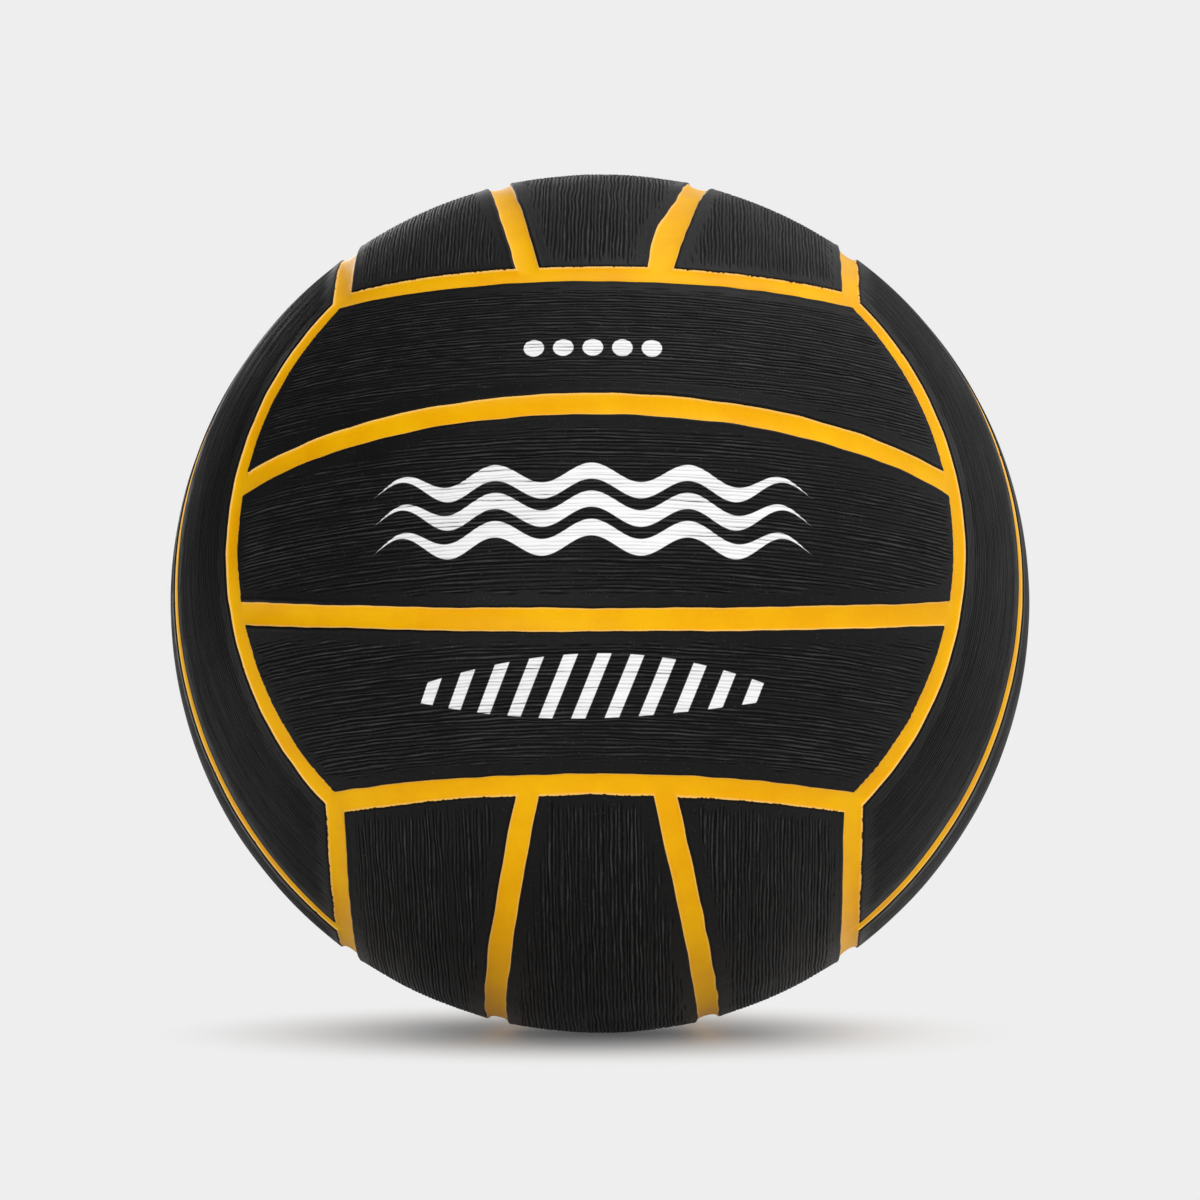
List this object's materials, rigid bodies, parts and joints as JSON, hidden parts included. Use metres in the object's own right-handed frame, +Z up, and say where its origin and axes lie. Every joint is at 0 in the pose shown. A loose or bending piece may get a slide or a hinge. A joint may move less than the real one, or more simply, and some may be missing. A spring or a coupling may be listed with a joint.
{
  "type": "water polo ball",
  "caption": "Weighted rubber water polo ball with ribbed black panels set between yellow channels, over a carcass, thread winding and bladder with a pull-out valve core.",
  "frame": {"origin": "centre of the ball", "axes": "+Z up as the ball lies, the front panels face -Y and look up by the tilt angle, and +X runs out through the valve"},
  "size_m": [0.2211, 0.2212, 0.2212],
  "materials": {
    "black_rubber": "matt, finely ribbed along each panel",
    "yellow_rubber": "satin",
    "thread": "nylon thread set in latex",
    "bladder_rubber": "matt butyl",
    "valve_rubber": "satin"
  },
  "bodies": {
    "ball": {"back_lower_panel": "black_rubber", "back_middle_panel": "black_rubber", "back_upper_panel": "black_rubber", "bladder": "bladder_rubber", "bottom_left_panel": "black_rubber", "bottom_middle_panel": "black_rubber", "bottom_right_panel": "black_rubber", "carcass": "yellow_rubber", "front_lower_panel": "black_rubber", "front_middle_panel": "black_rubber", "front_upper_panel": "black_rubber", "left_back_panel": "black_rubber", "left_front_panel": "black_rubber", "left_middle_panel": "black_rubber", "right_back_panel": "black_rubber", "right_front_panel": "black_rubber", "right_middle_panel": "black_rubber", "thread_winding": "thread", "top_left_panel": "black_rubber", "top_middle_panel": "black_rubber", "top_right_panel": "black_rubber", "valve_housing": "valve_rubber", "valve_patch": "bladder_rubber"},
    "valve_core": {"valve_core": "valve_rubber"}
  },
  "joints": [
    {"name": "valve_core_pull", "type": "slide", "parent": "ball", "child": "valve_core", "axis": [1, 0, 0], "range_m": [0, 0.022]}
  ]
}
